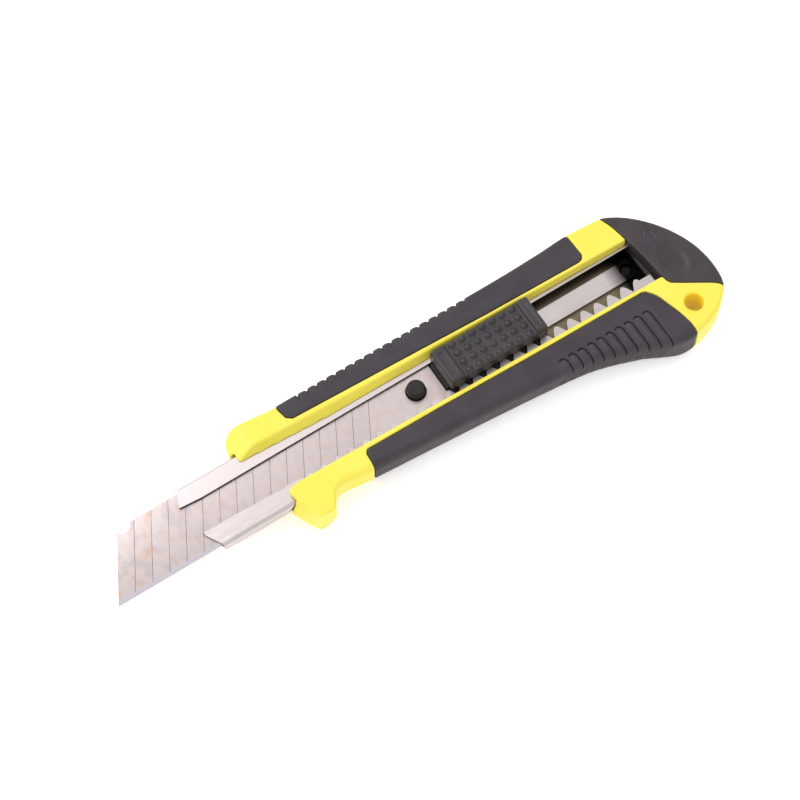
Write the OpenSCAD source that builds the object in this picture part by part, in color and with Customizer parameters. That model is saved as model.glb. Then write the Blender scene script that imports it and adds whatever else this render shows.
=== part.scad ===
// Snap-off utility knife: a moulded two-shell handle with soft grips, a toothed steel
// blade channel, a self-locking thumb slider and a slide-off end cap.
// The knife lies on its back: +Z comes out of the slider side, X runs from the blade
// tip to the end cap, and +Y points to the spine. Millimetres throughout.

/* [Blade] */
// Width of the blade
blade_w = 18; // [15:0.5:22]
// Length of a full blade
blade_len = 100; // [85:1:120]
// Thickness of the blade
blade_t = 0.5; // [0.4:0.05:0.7]
// Distance between two score lines
score_pitch = 4.95; // [4:0.05:7]
// Angle between the score lines and the cutting edge
score_angle = 61; // [55:1:70]
// Width of the ground cutting bevel
bevel_w = 1.3; // [0.8:0.1:2]
// Length of blade that stands out of the channel mouth
blade_out = 26; // [20:0.5:32]
// Radius of the hole that the peg goes through
blade_hole_r = 2.8; // [2:0.1:3.2]
// Distance from that hole to the back end of the blade
blade_hole_back = 6.6; // [5:0.1:8]

/* [Blade channel] */
// Length of the steel channel
channel_len = 136; // [124:1:170]
// Outer thickness of the channel
channel_t = 4; // [3.6:0.1:5]
// Thickness of the steel sheet
sheet_t = 0.6; // [0.5:0.05:0.8]
// How far each side of the channel stands out past the blade
channel_side = 1; // [0.9:0.1:1.4]
// Pitch of the lock teeth
tooth_pitch = 4.19; // [3.5:0.01:5]
// Distance from the cutting edge to the tips of the lock teeth
tooth_tip_y = 4.5; // [4.2:0.1:5]
// Height of the lock teeth
tooth_h = 2.8; // [1.8:0.1:3.2]
// Distance from the blade's back to the edge of the upper lip
upper_lip = 4.5; // [3.5:0.1:5]

/* [Handle] */
// Height of the handle's face above the blade
face_h = 3.3; // [2.8:0.1:4.5]
// Depth of the handle's back below the blade
back_h = 7.5; // [7:0.1:9.5]
// Depth of the parting line between the shells, below the blade
parting_h = 1.25; // [1:0.05:1.8]
// Greatest width of the handle on the belly side of the cutting edge
belly_drop = 18; // [15:0.5:22]
// Width of the handle on the spine side of the blade
spine_rise = 6; // [5.4:0.1:7.5]
// Thickness of the soft grips
grip_t = 1.2; // [0.8:0.1:1.4]
// Radius of the hang hole
hang_r = 2.5; // [2:0.1:3]

/* [Slider] */
// Length of the thumb pad
pad_len = 29.5; // [25:0.5:32]
// Width of the thumb pad
pad_w = 10; // [9:0.1:11]
// Height of the thumb pad's ribs above the blade
pad_h = 5.8; // [5:0.1:7]
// Radius of the round bumps on the pad
bump_r = 1; // [0.7:0.1:1.1]
// Radius of the peg that pulls the blade
peg_r = 2.45; // [1.8:0.05:2.7]
// Height of the peg above the blade
peg_h = 2.4; // [1:0.1:2.8]

/* [Fasteners] */
// Radius of the screw shanks
screw_r = 1; // [0.8:0.1:1.2]
// Radius of the screw heads
screw_head_r = 1.9; // [1.6:0.1:2.1]
// Radius of the rivets that hold the channel
rivet_r = 1; // [0.8:0.1:1.2]

/* [Hidden] */
$fn = 48;
eps = 0.01;
fit = 0.15;                     // clearance of a sliding fit
cut = 40;                       // more than the handle is thick

// Levels, from the top of the blade at 0
lip_under = 0.2;
lip_top = lip_under + sheet_t;
channel_under = lip_top - channel_t;
floor_top = channel_under + sheet_t;
blade_under = -blade_t;
carrier_t = 1;
carrier_under = blade_under - carrier_t;
bead_top = carrier_under - 0.2;
parting_z = -parting_h;
mid_y = blade_w / 2;

// Stations along the knife: from the channel's mouth and from its back end
mouth_x = blade_out;
rear_x = mouth_x + channel_len;
channel_tail = 1;                // how far the channel reaches into the end cap
function m(x) = mouth_x + x;
function r(x) = rear_x + x;
// Distances on the spine side, from the blade's back, and on the belly side
function s(y) = blade_w + y * spine_rise / 6;
function b(y) = -y * belly_drop / 18;

// A smooth curve through the points p, n steps between neighbours
function between(a, b, c, d, t) =
    0.5 * (2 * b + (c - a) * t + (2 * a - 5 * b + 4 * c - d) * t * t
           + (3 * b - a - 3 * c + d) * t * t * t);
function smooth(p, n = 4) = let (e = len(p) - 1) concat(
    [for (i = [0 : e - 1], k = [0 : n - 1])
        between(p[max(i - 1, 0)], p[i], p[i + 1], p[min(i + 2, e)], k / n)],
    [p[e]]);
// A cubic curve between p and s with the handles q and r
function bend(p, q, r, s, n = 10) = [for (i = [0 : n]) let (t = i / n, u = 1 - t)
    u * u * u * p + 3 * u * u * t * q + 3 * u * t * t * r + t * t * t * s];
// A counter-clockwise outline moved in by d at every corner
function unit(v) = v / norm(v);
function inset(p, d) = let (n = len(p)) [for (i = [0 : n - 1])
    let (a = unit(p[i] - p[(i + n - 1) % n]), c = unit(p[(i + 1) % n] - p[i]),
         na = [-a[1], a[0]], nc = [-c[1], c[0]])
    p[i] + d * (na + nc) / (1 + na * nc)];

// Belly edge of the handle, from the guard to the tail
guard = [[m(24.9), 1.7], [m(25.6), -1], [m(27.9), b(8.1)], [m(32.4), b(8.3)],
         [m(34.4), b(5)]];
belly = smooth([[m(35.6), b(4)], [m(38.7), b(3.6)], [m(46), b(4.5)], [m(75.7), b(6.7)],
                [r(-40.3), b(8.4)], [r(-26.3), b(10.1)], [r(-15.3), b(13.5)],
                [r(-9.7), b(15.8)], [r(-4.7), b(17.6)], [r(-1.5), b(18)],
                [r(1.5), b(17.7)], [r(5.8), b(16.6)], [r(10.4), b(14.4)],
                [r(14.2), b(11)]], 3);
// Round outer edge of the end cap, up to the spine
cap_edge = concat([[r(15.8), -7.6]],
                  bend([r(16.1), -4], [r(16.9), 8], [r(7), s(3)], [r(-1.4), s(5.7)], 14));
// Spine edge, from the end cap to the nose
spine = [[r(-12), s(6.3)], [r(-22), s(5.8)], [r(-42), s(5.5)], [m(40), s(6)],
         [m(33), s(5.9)], [m(22.6), s(6.8)]];
nose_end = bend([m(20.6), s(6.4)], [m(18.6), s(5.4)], [m(17.9), s(3.6)],
                [m(17.9), s(1.2)], 5);
handle = concat(guard, belly, cap_edge, spine, nose_end, [[m(17.9), s(-0.2)]]);
// Seam between the shells and the end cap, from the spine down to the tail
seam = concat(smooth([[r(-2.4), s(9)], [r(-1.4), s(5.2)], [r(-0.1), s(1.4)],
                      [r(1.1), mid_y + 3.2], [r(1.9), 5.6], [r(2.4), 1.1]], 3),
              [[r(3.1), -1.7], [r(4.7), -3.05], [r(12.4), -8.05], [r(14.1), -9.6]]);
cap_side = concat(seam, [[r(15.6), -11.2], [r(40), -11.2], [r(40), s(9)]]);

// The origin is under the middle of the knife, on the surface it lies on
all_x = [0, max([for (p = handle) p[0]])];
all_y = [min([for (p = handle) p[1]]), max([for (p = handle) p[1]])];
origin = [(all_x[0] + all_x[1]) / 2, (all_y[0] + all_y[1]) / 2, -back_h];
module place() translate(-origin) children();

// A flat shape between two heights
module layer(z0, z1) translate([0, 0, z0]) linear_extrude(z1 - z0) children();
// The shape of the handle, with its edges stepped in near the face and the back
face_steps = [[0.35, 0.7], [0.8, 0.3], [1.4, 0.1]];
back_steps = [[0.9, 2.2], [2, 1.4], [3.4, 0.7], [4.9, 0.25]];
// The guard's front leans out towards the back
guard_lean = 2.2;
module guard_front() hull() {
    layer(face_h - 1.4, face_h - 1) polygon([guard[1], guard[2], [m(30), -1]]);
    layer(-2.2, -2) polygon([guard[1] - [guard_lean, 0], [m(24.7), b(4.4)], guard[2], [m(30), -1]]);
    layer(-back_h + 2, -back_h + 2.2) polygon([[m(26.5), -1], [m(28.9), b(5.5)], [m(30), -1]]);
}
// Bosses keep the shell whole round the screws' heads, near the rounded back
module screw_bosses() for (p = screws) intersection() {
    layer(-back_h, -back_h + 5) translate(p) circle(r = screw_head_r + 1.1);
    layer(-cut, cut) polygon(inset(handle, 0.3));
}
module handle_solid() {
    guard_front();
    screw_bosses();
    layer(-back_h + back_steps[3][0], face_h - face_steps[2][0]) polygon(handle);
    for (i = [0 : 2])
        layer(face_h - face_steps[i][0] - (i < 2 ? 0 : eps) - 0.6,
              face_h - (i > 0 ? face_steps[i - 1][0] : 0))
            polygon(inset(handle, face_steps[i][1]));
    for (i = [0 : 3])
        layer(-back_h + (i > 0 ? back_steps[i - 1][0] : 0), -back_h + back_steps[i][0] + 0.6)
            polygon(inset(handle, back_steps[i][1]));
}
module cap_region() polygon(cap_side);
module lower_half() layer(-cut, parting_z) square(1000, center = true);
module upper_half() layer(parting_z, cut) square(1000, center = true);

// Space for the channel and the opening between the rails
pocket_y = [-channel_side - fit, blade_w + channel_side + fit];
rail_face = [[m(24), blade_w - 0.4], [m(34), blade_w - 0.7], [m(74), blade_w - 2.2],
             [r(4), blade_w - 3.6]];
rail_foot = [[m(10), blade_w - 1.6], [m(20), blade_w - 1.9], [m(44), blade_w - 3.2],
             [r(4), blade_w - 4]];
belly_rail = [[m(24.9), 1.65], [m(27), 2.9], [m(39), 2.85], [m(94), 1.5], [r(4), 0.5]];
function mix(p, q, t) = [for (i = [0 : len(p) - 1]) p[i] * (1 - t) + q[i] * t];
function backwards(p) = [for (i = [len(p) - 1 : -1 : 0]) p[i]];
module slot_2d(t) polygon(concat([[m(-5), belly_rail[0][1]]], belly_rail,
    backwards(mix(rail_foot, rail_face, t)), [[m(-5), blade_w - 0.4]]));
rail_steps = 4;
module channel_space() {
    translate([m(-5), pocket_y[0], channel_under - fit])
        cube([channel_len + 5 + 4, pocket_y[1] - pocket_y[0], channel_t + 2 * fit]);
    for (i = [0 : rail_steps - 1])
        let (z0 = lip_top + fit, h = (face_h - z0) / rail_steps)
            layer(z0 + i * h - eps, z0 + (i + 1) * h + (i < rail_steps - 1 ? 0 : 1))
                slot_2d((i + 0.5) / rail_steps);
}
// The nose slopes down in front of the face
nose_slope = 4.6;
module nose_cut() translate([m(17.9) - 1, s(-8), face_h])
    rotate([0, atan(2.3 / nose_slope), 0]) translate([-20, 0, 0]) cube([20 + 5.8, 30, 10]);

// The end cap runs on a T-shaped rail behind the channel
t_wall = [r(fit), r(2)];
t_neck = [-back_h + 2, -back_h + 3.6];
t_head = [-back_h + 1.1, -back_h + 4.5];
t_neck_x = r(4);
t_head_x = r(5.5);
t_y = [0, blade_w];
wall_top = channel_under - fit;
module t_rail(c = 0, y0 = 0) {
    translate([t_wall[0] - c, y0 - c, t_neck[0] - c])
        cube([t_neck_x - t_wall[0] + 2 * c, t_y[1] - y0 + 2 * c, t_neck[1] - t_neck[0] + 2 * c]);
    translate([t_neck_x - c, y0 - c, t_head[0] - c])
        cube([t_head_x - t_neck_x + 2 * c, t_y[1] - y0 + 2 * c, t_head[1] - t_head[0] + 2 * c]);
}
module end_wall(c = 0, y0 = pocket_y[0] - 1) translate([t_wall[0] - c, y0 - c, -back_h - c])
    cube([t_wall[1] - t_wall[0] + 2 * c, pocket_y[1] - y0 + 2 * c,
          wall_top + back_h + 2 * c]);

// Grips: soft skins over the rails and the sides
spine_face = [[m(34.3), s(9)], [m(34.3), s(4.4)], [m(34.9), s(1.6)], [m(36.3), s(0.55)],
              [m(74), blade_w - 0.9], [m(94), blade_w - 1.7], [r(-13.4), blade_w - 2.3],
              [r(-12.2), blade_w - 1.9], [r(-11.5), blade_w - 0.8], [r(-11.8), s(9)]];
belly_face = concat([[r(0.8), b(30)], [m(44.2), b(30)], [m(44.2), b(6.75)],
                     [m(45.5), b(6)], [m(46.5), b(4)], [m(46.75), 0.2], [m(47.6), 1.1]],
                    [[m(69), 0.8], [m(84), 0.44], [m(104), -0.1], [r(-5), -0.45]],
                    smooth([[r(-3.9), -0.7], [r(-2), -3.3], [r(-0.9), -6.7],
                            [r(0.2), -10.6], [r(0.9), -14.4]], 2));
back_spine = [[m(34.3), s(9)], [m(34.3), s(0.5)], [m(37.3), s(-1.5)], [r(-14.8), s(-1.5)],
              [r(-11.8), s(0.5)], [r(-11.8), s(9)]];
back_belly = [[r(0.8), b(30)], [m(46.4), b(30)], [m(46.4), -1], [m(49), 1.5],
              [r(-17), 1.5], [r(-14), -1], [r(-12.5), b(9.5)], [r(-9.5), b(13.2)],
              [r(0.8), b(14.4)]];
module grip_front(shape, t = grip_t) intersection() {
    difference() {
        handle_solid();
        layer(-cut, face_h - t) polygon(inset(handle, t));
        lower_half();
    }
    layer(-cut, cut) polygon(shape);
}
module grip_back(shape, t = grip_t) intersection() {
    difference() {
        handle_solid();
        layer(-back_h + back_steps[3][0], cut) polygon(inset(handle, t));
        layer(-back_h + t, -back_h + back_steps[3][0] + eps)
            polygon(inset(handle, back_steps[0][1] + 0.4));
        upper_half();
    }
    layer(-cut, cut) polygon(shape);
}

// Grooves across the belly grip, and gaps between the finger lumps of the spine grip
rib_count = 10;
rib_pitch = 2.87;
rib_x = r(-33.1);
groove_w = 0.45;
groove_d = 0.5;
module belly_grooves() for (i = [0 : rib_count - 1])
    translate([rib_x + 1.2 + i * rib_pitch, b(30), face_h - groove_d])
        cube([groove_w, 30 * belly_drop / 18 - 5.2, cut]);
lumps = 18;
lump_pitch = 2.82;
lump_gap_r = 0.6;
module lump_gaps() for (i = [0 : lumps])
    translate([m(40.5) + i * lump_pitch, s(6.1) - i * 0.026, 0]) cylinder(r = lump_gap_r, h = cut);

screws = [[m(27), s(3)], [r(-7), s(2.9)], [m(30.6), b(4.4)], [r(-6), b(10.5)]];
screw_top = face_h - 1.8;
screw_head_h = 1.2;
module screw_holes() for (p = screws) translate(concat(p, -back_h)) {
    cylinder(r = screw_r, h = screw_top + back_h);
    translate([0, 0, -eps]) cylinder(r = screw_head_r + fit, h = screw_head_h + 0.6 + eps);
}
rivets = [[m(27), mid_y], [r(-2.5), mid_y]];
rivet_head = 0.5;
rivet_head_r = rivet_r + 0.7;
rivet_flange_r = rivet_r + 0.8;
rivet_seat = 0.8;                // depth of the seats in the back
rivet_low = -back_h + rivet_seat - 0.6;
module rivet_holes() for (p = rivets) translate(concat(p, -back_h - 1))
    cylinder(r = rivet_r, h = back_h + 1);
hang = [r(5.1), -10.1];
module hang_hole() translate(concat(hang, -cut)) cylinder(r = hang_r, h = 2 * cut);

// A strap under the channel joins the two sides of the front shell
strap_x = [r(-12.6), r(-10.2)];
strap_y = [pocket_y[0] - 1.4, pocket_y[1] + 1.4];
strap_z = [channel_under - fit - 1.6, parting_z + 1];
module strap(c = 0) translate([strap_x[0] - c, strap_y[0] - c, strap_z[0] - c])
    cube([strap_x[1] - strap_x[0] + 2 * c, strap_y[1] - strap_y[0] + 2 * c,
          strap_z[1] - strap_z[0] + c]);
module front_shell() color("yellow") difference() {
    union() {
        difference() {
            handle_solid();
            layer(-cut, cut) cap_region();
            lower_half();
        }
        strap();
    }
    channel_space();
    nose_cut();
    grip_front(spine_face);
    grip_front(belly_face);
    screw_holes();
    hang_hole();
}

bays = 4;
bay_wall = 2;
bay_x = [m(40), r(-14)];
bay_len = (bay_x[1] - bay_x[0] - (bays - 1) * bay_wall) / bays;
module back_shell() color("yellow") difference() {
    union() {
        difference() {
            handle_solid();
            layer(-cut, cut) cap_region();
        }
        intersection() {
            handle_solid();
            end_wall();
        }
        t_rail();
    }
    upper_half();
    channel_space();
    strap(fit);
    for (i = [0 : bays - 1])
        translate([bay_x[0] + i * (bay_len + bay_wall), 2, -back_h + 1.5])
            cube([bay_len, blade_w - 4, cut]);
    grip_back(back_spine);
    grip_back(back_belly);
    screw_holes();
    rivet_holes();
    for (p = rivets) translate(concat(p, -back_h - eps))
        cylinder(r = rivet_flange_r + fit, h = rivet_seat + eps);
    hang_hole();
}

module spine_grip_front() color("#55505a") difference() {
    grip_front(spine_face);
    lump_gaps();
}
module spine_grip_back() color("#55505a") grip_back(back_spine);
module belly_grip_front() color("#55505a") difference() {
    grip_front(belly_face);
    belly_grooves();
}
module belly_grip_back() color("#55505a") grip_back(back_belly);

// End cap, open along its seam for the end wall and the T rail
dimple = [r(7.9), 3.3];
dimple_r = 16;
dimple_d = 0.45;
arrow = [r(7), mid_y + 3.2];
// Its sill reaches under the slot as far as the channel's back end
sill = [r(channel_tail), r(3)];
module end_cap() color("#5d585d") difference() {
    union() {
        intersection() {
            handle_solid();
            layer(-cut, cut) polygon(cap_side);
        }
        translate([sill[0], pocket_y[0] + fit, wall_top + fit])
            cube([sill[1] - sill[0], pocket_y[1] - pocket_y[0] - 2 * fit,
                  bead_top - wall_top - fit]);
    }
    translate([r(-5), pocket_y[0], wall_top])
        cube([5 + channel_tail + fit, pocket_y[1] - pocket_y[0], channel_t + 2 * fit]);
    end_wall(fit, -20);
    t_rail(fit, -20);
    catch_slot(fit);
    translate(concat(dimple, face_h - dimple_d + dimple_r)) sphere(r = dimple_r, $fn = 96);
    layer(face_h - 0.2, cut) translate(arrow) difference() {
        arrow_2d(1);
        arrow_2d(0.72);
    }
}
module arrow_2d(k) polygon([for (p = [[-0.8, -2], [0.8, -2], [0.8, 0.4], [1.6, 0.4],
                                      [0, 2.2], [-1.6, 0.4], [-0.8, 0.4]]) p * k]);
// A spring steel catch in the cap that drops in front of the T rail's top end
catch = [2.4, 0.4, 3.2];
catch_x = r(3.3);
module catch_slot(c = 0)
    translate([catch_x - c, t_y[1] + fit + 0.1 - c, t_neck[0] - 0.6 - c])
        cube([catch[0] + 2 * c, catch[1] + 2 * c, catch[2] + 2 * c]);
module cap_catch() color("silver") catch_slot();

// Steel channel
mouth = [[m(-0.1), blade_w - 3.8], [m(2.2), blade_w + channel_side + eps]];
belly_mouth = [[m(1.6), 5.3], [m(1.6), 4.2], [m(4), 0], [m(4.6), -channel_side - eps]];
taper_x = m(25);
taper_rise = 1.8;
tooth_first = m(30) - 0.02;
teeth = floor((r(-1) - tooth_first) / tooth_pitch);
teeth_end = tooth_first + (teeth - 0.25) * tooth_pitch;
land_y = tooth_tip_y - 0.9;      // lip behind the last tooth
tooth_steps = 12;
side_r = 1.2;
bead_end = r(-0.5);
channel_w = blade_w + 2 * channel_side;
function tooth_edge() = [for (i = [0 : (teeth - 0.25) * tooth_steps])
    let (a = 360 * i / tooth_steps, c = 0.5 - 0.5 * cos(a))
    [tooth_first + i * tooth_pitch / tooth_steps,
     tooth_tip_y - tooth_h + tooth_h * pow(c, 0.6)]];
module channel_profile(c) {
    for (y = [side_r - channel_side, blade_w + channel_side - side_r],
         z = [channel_under + side_r, lip_top - side_r])
        translate([y, z]) circle(r = side_r - c);
    translate([side_r - channel_side, channel_under + c])
        square([channel_w - 2 * side_r, channel_t - 2 * c]);
    translate([c - channel_side, channel_under + side_r])
        square([channel_w - 2 * c, channel_t - 2 * side_r]);
}
module along_x(x0, x1) translate([x0, 0, 0]) rotate([90, 0, 90]) linear_extrude(x1 - x0)
    children();
module wedge(z, grow) translate([0, blade_w + 5, 0]) rotate([90, 0, 0])
    linear_extrude(blade_w + 10) polygon([[m(-5), z + taper_rise * (taper_x - m(-5)) / 22],
        [taper_x, z], [taper_x, z - grow], [m(-5), z - grow]]);
module blade_channel() color("gainsboro") difference() {
    union() {
        difference() {
            along_x(m(-1), r(channel_tail)) channel_profile(0);
            along_x(m(-2), r(channel_tail + 1)) channel_profile(sheet_t);
        }
        intersection() {
            along_x(m(-1), taper_x) channel_profile(0);
            wedge(floor_top, 5);
        }
        translate([m(29), mid_y - 2.6, floor_top - eps])
            cube([bead_end - m(29), 5.2, bead_top - floor_top + eps]);
    }
    wedge(channel_under - eps, 5);
    // the open mouth between the lips, with the lock teeth along its belly side
    layer(0, cut) polygon(concat([[m(-5), 5.3], [m(24), tooth_tip_y]],
        [[tooth_first, tooth_tip_y]], tooth_edge(),
        [[teeth_end, land_y], [r(5), land_y],
         [r(5), blade_w - upper_lip], [m(6), blade_w - upper_lip],
         [m(-5), blade_w - upper_lip + 0.9]]));
    // slanted front ends of the lips
    layer(-cut, cut) polygon([mouth[0], mouth[1], mouth[1] + [0, 3], [m(-9), blade_w + 3],
        [m(-9), -5], belly_mouth[3] - [0, 3], belly_mouth[3], belly_mouth[2],
        belly_mouth[1], belly_mouth[0], [m(1.6), mid_y], [m(-0.1), mid_y]]);
    rivet_holes();
    // room in the raised strip for the rivets' heads
    for (p = rivets) translate(concat(p, floor_top)) cylinder(r = rivet_head_r + fit, h = 2);
}
module channel_rivets() color("gray") for (p = rivets) translate(concat(p, 0)) {
    translate([0, 0, rivet_low]) cylinder(r = rivet_r, h = floor_top - rivet_low + eps);
    translate([0, 0, floor_top]) cylinder(r1 = rivet_head_r, r2 = rivet_r, h = rivet_head);
    translate([0, 0, rivet_low]) cylinder(r = rivet_flange_r, h = 0.6);
}
module shell_screws() color("dimgray") for (p = screws)
    translate(concat(p, -back_h + 0.6)) difference() {
        union() {
            cylinder(r = screw_head_r, h = screw_head_h);
            cylinder(r = screw_r, h = screw_top + back_h - 1.2);
        }
        for (a = [0, 90]) rotate(a) translate([-1.1, -0.25, -eps]) cube([2.2, 0.5, 0.7]);
    }

// Blade with its score lines, bevel, peg hole and the notch behind its front corner
lean = 1 / tan(score_angle);
notch_r = 2;
score_w = 0.14;
score_d = 0.08;
scores = floor((blade_len - 24) / score_pitch);
module snap_off_blade() color("whitesmoke") difference() {
    rotate([90, 0, 90]) linear_extrude(blade_len)
        polygon([[0, -blade_t / 2], [bevel_w, -blade_t], [blade_w, -blade_t], [blade_w, 0],
                 [bevel_w, 0]]);
    layer(-5, 5) polygon([[-5, -1], [-lean, -1], [(blade_w + 1) * lean, blade_w + 1],
                          [-5, blade_w + 1]]);
    for (i = [1 : scores]) translate([i * score_pitch, 0, 0]) rotate(score_angle - 90)
        translate([-score_w / 2, -2, -score_d]) cube([score_w, blade_w * 1.3, 1]);
    translate([blade_w * lean + 1.6, blade_w, -5]) cylinder(r = notch_r, h = 10);
    translate([blade_len - blade_hole_back, mid_y, -5]) cylinder(r = blade_hole_r, h = 10);
}

// Slider: carrier and peg, base in the channel, pad above the lips
peg_x = blade_len - blade_hole_back;
base_x = [blade_len + 0.3, blade_len + 0.3 + pad_len + 1.2];
pad_x = base_x[0] + 0.8;
neck_y = [tooth_tip_y + 0.4, blade_w - upper_lip - 0.4];
base_top = lip_under - 0.1;
neck_top = lip_top + 0.2;
pawl_x = tooth_first + tooth_pitch * round((pad_x + pad_len / 2 - tooth_first) / tooth_pitch);
pawl_end_y = tooth_tip_y - tooth_h + 0.9;
pawl_back_y = pawl_end_y + 5;
pocket_back_y = pawl_back_y + tooth_h + 1;
pawl_half = 2;
pawl_tip = 0.095 * tooth_pitch;      // half the width at its tip
pawl_nose = 0.21 * tooth_pitch;      // half the width where the nose ends
pad_rivets_x = [pad_x + 5, pad_x + pad_len - 5];
pad_rivet_r = 1.2;
module blade_carrier() color("#2b2b2d") {
    difference() {
        translate([peg_x - 5.5, 3, carrier_under])
            cube([base_x[1] - peg_x + 5.5, blade_w - 6, carrier_t]);
        for (x = pad_rivets_x) translate([x, mid_y, -cut]) cylinder(r = pad_rivet_r, h = 2 * cut);
    }
    translate([peg_x, mid_y, blade_under - eps]) cylinder(r = peg_r, h = blade_t + peg_h - 0.4);
    translate([peg_x, mid_y, peg_h - 0.4 - eps])
        cylinder(r1 = peg_r, r2 = peg_r - 0.4, h = 0.4 + eps);
}
module slider_base() color("#2b2b2d") difference() {
    union() {
        translate([base_x[0], 1.2, blade_under])
            cube([base_x[1] - base_x[0], blade_w - 2.4, base_top - blade_under]);
        for (y = [1.2, blade_w - 2.9]) translate([base_x[0] + 2, y, floor_top + 0.1])
            cube([base_x[1] - base_x[0] - 4, 1.7, base_top - floor_top - 0.1]);
        translate([base_x[0], neck_y[0], base_top - eps])
            cube([base_x[1] - base_x[0], neck_y[1] - neck_y[0], neck_top - base_top + eps]);
    }
    translate([pawl_x - pawl_half - 0.2, neck_y[0] - 1, base_top])
        cube([2 * pawl_half + 0.4, pocket_back_y - neck_y[0] + 1, 5]);
    for (x = pad_rivets_x) translate([x, mid_y, -cut]) cylinder(r = pad_rivet_r, h = 2 * cut);
}
rib_w = [3.8, 3.2];
pad_floor = pad_h - 0.9;
columns = 7;
rows = 4;
bump_pitch = [3.1, 2.78];
bump_x = pad_x + rib_w[0] + (pad_len - rib_w[0] - rib_w[1]) / 2;
module thumb_pad() color("#58545a") difference() {
    union() {
        translate([pad_x, mid_y - pad_w / 2, neck_top])
            cube([pad_len, pad_w, pad_floor - neck_top]);
        translate([pad_x, mid_y - pad_w / 2, neck_top]) cube([rib_w[0], pad_w, pad_h - neck_top]);
        translate([pad_x + pad_len - rib_w[1], mid_y - pad_w / 2, neck_top])
            cube([rib_w[1], pad_w, pad_h - neck_top]);
        for (i = [0 : columns - 1], j = [0 : rows - 1])
            translate([bump_x + (i - (columns - 1) / 2) * bump_pitch[0],
                       mid_y + (j - (rows - 1) / 2) * bump_pitch[1], pad_floor - 0.2])
                sphere(r = bump_r);
    }
    for (x = pad_rivets_x) translate([x, mid_y, 0]) cylinder(r = pad_rivet_r, h = neck_top + 2);
}
module pad_rivets() color("gray") for (x = pad_rivets_x) translate([x, mid_y, carrier_under])
    cylinder(r = pad_rivet_r, h = neck_top + 1.8 - carrier_under);
module lock_pawl() color("#3a3a3c") layer(base_top + 0.05, neck_top - 0.1)
    translate([pawl_x, pawl_end_y])
        polygon([[-pawl_tip, 0], [pawl_tip, 0], [pawl_nose, 2.1], [pawl_half, 2.6],
                 [pawl_half, 5], [-pawl_half, 5], [-pawl_half, 2.6], [-pawl_nose, 2.1]]);
// A bent leaf spring between the pawl and the back of its pocket
leaf = 0.3;
module lock_spring() color("silver") layer(base_top + 0.15, neck_top - 0.2)
    let (h = pocket_back_y - pawl_back_y, w = pawl_half - 0.1) translate([pawl_x, pawl_back_y])
        polygon([[-0.5, 0], [0.5, 0], [w, h - leaf], [w, h], [w - leaf, h], [0.35, leaf],
                 [-0.35, leaf], [leaf - w, h], [-w, h], [-w, h - leaf]]);

place() front_shell();
place() back_shell();
place() spine_grip_front();
place() spine_grip_back();
place() belly_grip_front();
place() belly_grip_back();
place() end_cap();
place() cap_catch();
place() blade_channel();
place() channel_rivets();
place() shell_screws();
place() snap_off_blade();
place() blade_carrier();
place() slider_base();
place() thumb_pad();
place() pad_rivets();
place() lock_pawl();
place() lock_spring();
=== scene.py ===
# %% [markdown]
# # A snap-off utility knife
# The knife is already designed as exact parts: shells, grips, channel, blade, slider and end cap.
# Here every part gets its final surface and its finish. Moulded parts are rebuilt from distance
# fields, because a real mould leaves every edge a little round, and steel parts keep their exact
# shape with a fine bevel.

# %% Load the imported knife
import math

import bmesh
import bpy
import numpy as np
from mathutils import Matrix, Vector


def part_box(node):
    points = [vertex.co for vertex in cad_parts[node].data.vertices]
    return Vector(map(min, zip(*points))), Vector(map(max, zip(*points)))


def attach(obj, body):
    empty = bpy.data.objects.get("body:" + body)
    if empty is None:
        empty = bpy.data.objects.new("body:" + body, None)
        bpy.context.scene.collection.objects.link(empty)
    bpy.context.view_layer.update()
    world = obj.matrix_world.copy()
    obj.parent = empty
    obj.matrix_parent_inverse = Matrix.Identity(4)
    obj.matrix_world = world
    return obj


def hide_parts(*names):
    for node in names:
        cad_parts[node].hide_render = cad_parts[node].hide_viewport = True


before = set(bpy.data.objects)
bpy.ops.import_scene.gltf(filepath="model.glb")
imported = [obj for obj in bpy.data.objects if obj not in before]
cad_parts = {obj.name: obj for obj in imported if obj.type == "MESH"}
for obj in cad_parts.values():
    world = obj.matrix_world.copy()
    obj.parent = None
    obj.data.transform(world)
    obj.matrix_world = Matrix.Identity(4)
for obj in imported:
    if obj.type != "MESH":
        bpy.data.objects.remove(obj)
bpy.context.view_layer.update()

# %% [markdown]
# All sizes below are in millimetres, counted from the blade: X from its tip along the cutting
# edge, Y from the cutting edge to the blade's back, Z up from its top face. The blade's box in
# the frame tells where that corner lies, so nothing is placed by hand.

# %% Find the blade's corner
MM = 0.001
blade_low, blade_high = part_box("snap_off_blade")
corner = Vector((blade_low.x, blade_low.y, blade_high.z))
BLADE_W = (blade_high.y - blade_low.y) / MM
BLADE_LEN = (blade_high.x - blade_low.x) / MM
channel_low, channel_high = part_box("blade_channel")
MOUTH = (channel_low.x - corner.x) / MM + 0.1
CHANNEL_TAIL = 1.0
REAR = (channel_high.x - corner.x) / MM - CHANNEL_TAIL
FACE = (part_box("front_shell")[1].z - corner.z) / MM
BACK = (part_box("back_shell")[0].z - corner.z) / MM
PARTING = (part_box("front_shell")[0].z - corner.z) / MM
print(f"mouth {MOUTH:.1f}, rear {REAR:.1f}, face {FACE:.2f}, back {BACK:.2f}, parting {PARTING:.2f} mm")


def place(points):
    """Points in millimetres from the blade's corner, as metres in the frame."""
    return np.asarray(points, float) * MM + np.array(corner)


# %% [markdown]
# A distance field gives, at every point of a block of space, how far the nearest surface is.
# Cutting, joining and rounding are then one line of arithmetic each, and the surface is where
# the field is zero. That is how the moulded shells get soft, even edges without any modifier.

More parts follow.
